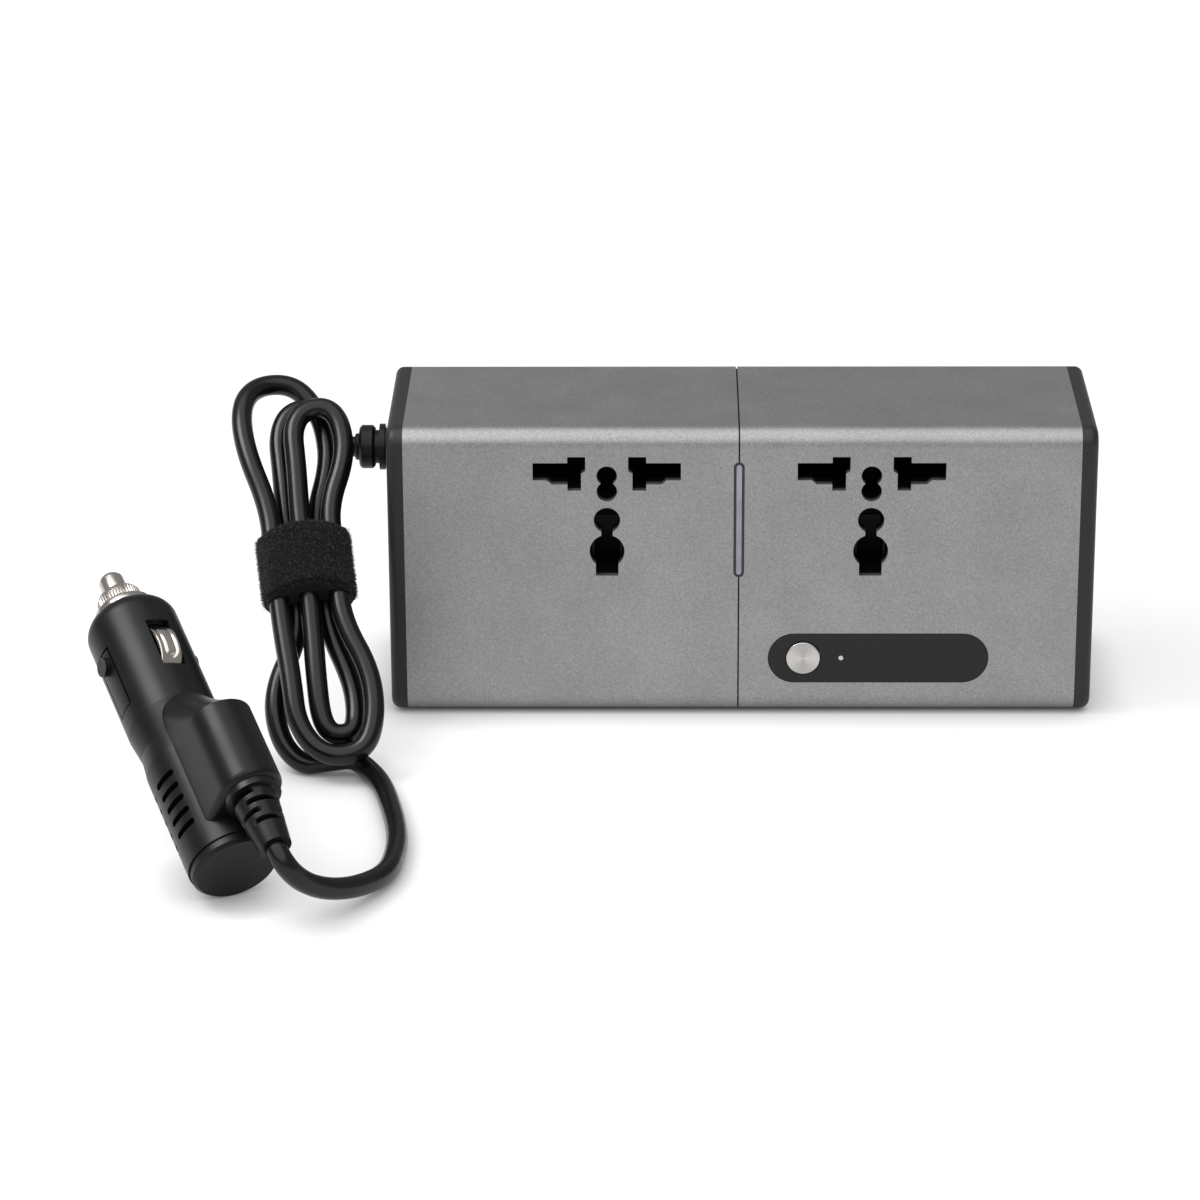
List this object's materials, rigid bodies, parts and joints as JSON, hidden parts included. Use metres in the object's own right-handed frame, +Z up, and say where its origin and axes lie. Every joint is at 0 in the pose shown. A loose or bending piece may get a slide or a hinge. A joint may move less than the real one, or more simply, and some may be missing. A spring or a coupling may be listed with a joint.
{
  "type": "car power inverter",
  "caption": "Slim metal-sleeved car inverter with two universal sockets, push button, fan and a strapped cord to a 12 V lighter plug.",
  "frame": {"origin": "on the table, under the middle of the inverter's body", "axes": "+X along the body away from the cord, the sockets look along -Y, +Z up"},
  "size_m": [0.2304, 0.1746, 0.0739],
  "materials": {
    "sleeve": "satin bead-blasted",
    "cap": "satin",
    "black_plastic": "matte",
    "light_rim": "satin",
    "light_lens": "frosted",
    "panel": "satin",
    "button": "radial brushed",
    "lamp_lens": "clear",
    "contact": "nickel-plated",
    "board": "satin",
    "ferrite": "matte",
    "copper": "enamelled",
    "capacitor": "sleeved",
    "heat_sink": "satin",
    "fan": "satin",
    "cord": "glossy",
    "strap": "hook and loop",
    "plug": "satin",
    "rubber": "matte",
    "steel": "satin",
    "chrome": "polished",
    "fuse_tube": "clear"
  },
  "bodies": {
    "inverter": {"shell_left": "sleeve", "shell_right": "sleeve", "rubber_feet": "rubber", "centre_frame": "black_plastic", "light_bar_bezel": "light_rim", "light_bar_lens": "light_lens", "light_board": "board", "end_cap_left": "cap", "end_cap_right": "cap", "cap_screws": "steel", "socket_body_left": "black_plastic", "socket_body_right": "black_plastic", "socket_contacts_left": "contact", "socket_contacts_right": "contact", "socket_back_left": "black_plastic", "socket_back_right": "black_plastic", "control_panel": "panel", "power_switch": "black_plastic", "indicator_lens": "lamp_lens", "control_board": "board", "main_board": "board", "transformer_core": "ferrite", "transformer_winding": "copper", "capacitors": "capacitor", "filter_choke": "copper", "heat_sink": "heat_sink", "power_transistors": "black_plastic", "fan_frame": "fan", "cable_gland": "plug", "gland_nut": "plug", "cord_hank": "cord", "cord_strap": "strap", "plug_shell_front": "plug", "plug_shell_rear": "plug", "plug_end_cap": "plug", "plug_nose_cap": "chrome", "fuse_holder": "black_plastic", "tip_spring": "steel", "plug_strain_relief": "rubber", "cord_tail": "cord"},
    "power_button": {"power_button": "button", "switch_plunger": "black_plastic"},
    "fan_rotor": {"fan_rotor": "fan"},
    "tip_pin": {"tip_pin": "chrome", "plug_fuse": "fuse_tube"},
    "side_contact_upper": {"side_contact_upper": "chrome"},
    "side_contact_lower": {"side_contact_lower": "chrome"},
    "latch_tab_front": {"latch_tab_front": "plug"},
    "latch_tab_rear": {"latch_tab_rear": "plug"}
  },
  "joints": [
    {"name": "power_button_press", "type": "slide", "parent": "inverter", "child": "power_button", "axis": [0, 1, 0], "range_m": [0, 0.0006], "stiffness_N_per_m": 1500},
    {"name": "fan_spin", "type": "hinge", "parent": "inverter", "child": "fan_rotor", "pos_m": [0.074, 0, 0.036], "axis": [1, 0, 0], "continuous": true},
    {"name": "tip_pin_press", "type": "slide", "parent": "inverter", "child": "tip_pin", "axis": [0.3871, -0.7936, -0.4695], "range_m": [0, 0.004], "stiffness_N_per_m": 1200, "deforming": ["tip_spring"]},
    {"name": "side_contact_upper_press", "type": "slide", "parent": "inverter", "child": "side_contact_upper", "axis": [-0.3911, 0.3199, -0.863], "range_m": [0, 0.0009], "stiffness_N_per_m": 2500},
    {"name": "side_contact_lower_press", "type": "slide", "parent": "inverter", "child": "side_contact_lower", "axis": [0.3911, -0.3199, 0.863], "range_m": [0, 0.0009], "stiffness_N_per_m": 2500},
    {"name": "latch_tab_front_flex", "type": "hinge", "parent": "inverter", "child": "latch_tab_front", "pos_m": [-0.13636, -0.09929, 0.03204], "axis": [-0.3911, 0.3199, -0.863], "range_deg": [0, 3], "stiffness_Nm_per_rad": 0.5},
    {"name": "latch_tab_rear_flex", "type": "hinge", "parent": "inverter", "child": "latch_tab_rear", "pos_m": [-0.12024, -0.0893, 0.02844], "axis": [0.3911, -0.3199, 0.863], "range_deg": [0, 3], "stiffness_Nm_per_rad": 0.5}
  ]
}
